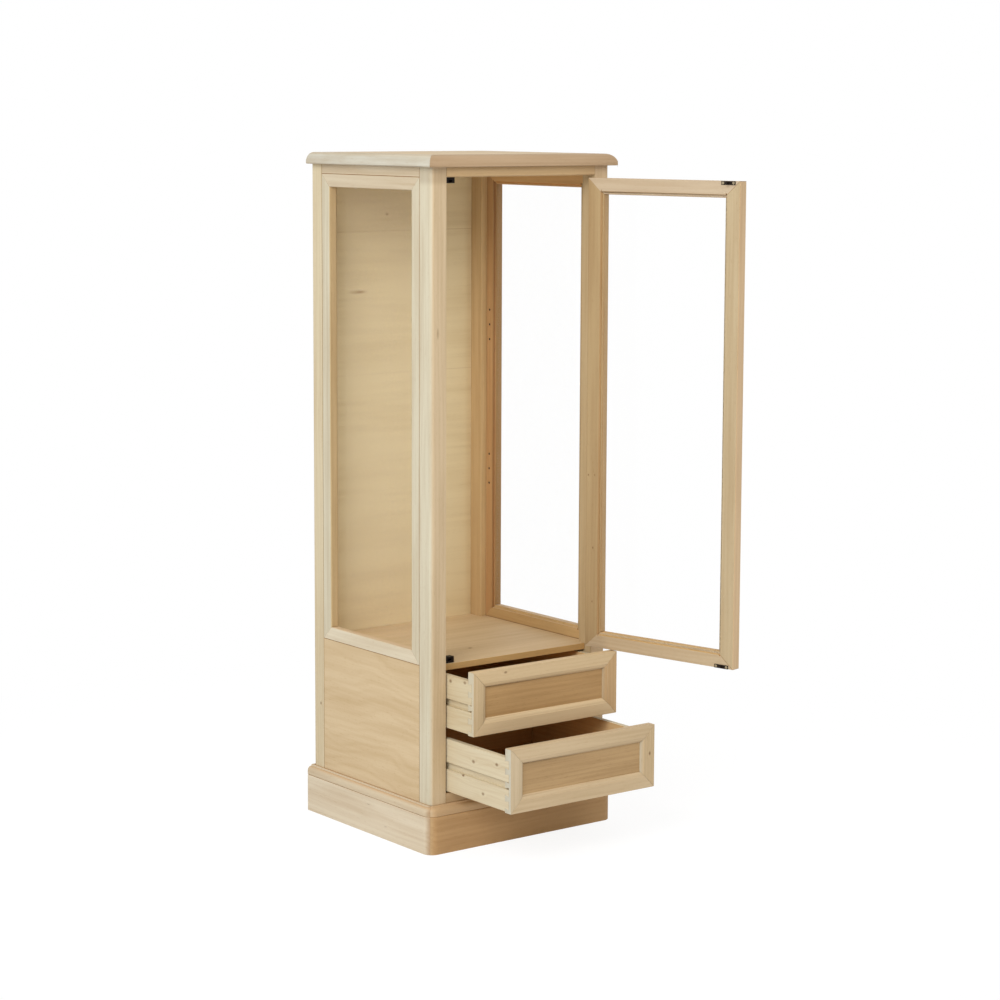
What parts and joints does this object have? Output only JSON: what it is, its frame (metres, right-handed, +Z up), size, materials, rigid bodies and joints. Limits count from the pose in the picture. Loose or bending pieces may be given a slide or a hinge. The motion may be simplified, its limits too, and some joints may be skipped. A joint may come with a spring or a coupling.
{
  "type": "pedestal display case",
  "caption": "Tall glazed wooden display case on a moulded plinth, with a framed glass door hinged at the right and drawers below.",
  "frame": {"origin": "on the floor, in the middle of the area between the corner posts", "axes": "+X to the right seen from the front, +Y from the front to the back, +Z up"},
  "size_m": [0.5059, 0.805, 1.4],
  "materials": {
    "carcass_wood": "raw sanded beech",
    "frame_wood": "raw sanded beech",
    "door_wood": "raw sanded beech",
    "drawer_front_wood": "raw sanded beech",
    "drawer_fir": "raw planed fir",
    "inner_softwood": "raw sawn softwood",
    "veneered_panel": "raw veneer",
    "inset_veneer": "raw veneer",
    "deck_board": "raw veneer",
    "back_plywood": "raw plywood",
    "clear_glass": "clear polished",
    "dark_lacquered_steel": "dark lacquered",
    "hinge_brass": "satin brass",
    "screw_steel": "plated steel"
  },
  "bodies": {
    "carcass": {"top_panel": "veneered_panel", "top_edge_front": "carcass_wood", "top_edge_left": "carcass_wood", "top_edge_right": "carcass_wood", "post_front_left": "carcass_wood", "post_front_right": "carcass_wood", "post_rear_left": "carcass_wood", "post_rear_right": "carcass_wood", "front_top_rail": "carcass_wood", "front_bottom_rail": "carcass_wood", "side_top_rails": "carcass_wood", "back_rails": "inner_softwood", "left_frame_front_stile": "frame_wood", "left_frame_rear_stile": "frame_wood", "left_frame_top_rail": "frame_wood", "left_frame_bottom_rail": "frame_wood", "right_frame_front_stile": "frame_wood", "right_frame_rear_stile": "frame_wood", "right_frame_top_rail": "frame_wood", "right_frame_bottom_rail": "frame_wood", "left_glass": "clear_glass", "right_glass": "clear_glass", "side_panel_left": "veneered_panel", "side_panel_right": "veneered_panel", "back_panel": "back_plywood", "deck": "deck_board", "deck_bearers": "inner_softwood", "base_moulding_front": "carcass_wood", "base_moulding_left": "carcass_wood", "base_moulding_right": "carcass_wood", "plinth_front": "carcass_wood", "plinth_left": "carcass_wood", "plinth_right": "carcass_wood", "plinth_back": "inner_softwood", "plinth_blocks": "inner_softwood", "drawer_runners": "inner_softwood", "case_screws": "screw_steel", "catches": "dark_lacquered_steel", "hinge_case_leaves": "hinge_brass", "hinge_pins": "hinge_brass"},
    "door": {"door_hinge_stile": "door_wood", "door_free_stile": "door_wood", "door_top_rail": "door_wood", "door_bottom_rail": "door_wood", "door_glass": "clear_glass", "catch_strikes": "dark_lacquered_steel", "hinge_door_leaves": "hinge_brass", "door_screws": "screw_steel"},
    "drawer_upper": {"upper_front_frame": "drawer_front_wood", "upper_front_panel": "inset_veneer", "upper_side_left": "drawer_fir", "upper_side_right": "drawer_fir", "upper_back": "drawer_fir", "upper_bottom": "back_plywood"},
    "drawer_lower": {"lower_front_frame": "drawer_front_wood", "lower_front_panel": "inset_veneer", "lower_side_left": "drawer_fir", "lower_side_right": "drawer_fir", "lower_back": "drawer_fir", "lower_bottom": "back_plywood"}
  },
  "joints": [
    {"name": "door_hinge", "type": "hinge", "parent": "carcass", "child": "door", "pos_m": [0.18725, -0.217, 0.9], "axis": [0, 0, 1], "range_deg": [-103, 72]},
    {"name": "upper_drawer_slide", "type": "slide", "parent": "carcass", "child": "drawer_upper", "axis": [0, -1, 0], "range_m": [-0.088, 0.212]},
    {"name": "lower_drawer_slide", "type": "slide", "parent": "carcass", "child": "drawer_lower", "axis": [0, -1, 0], "range_m": [-0.21, 0.09]}
  ]
}
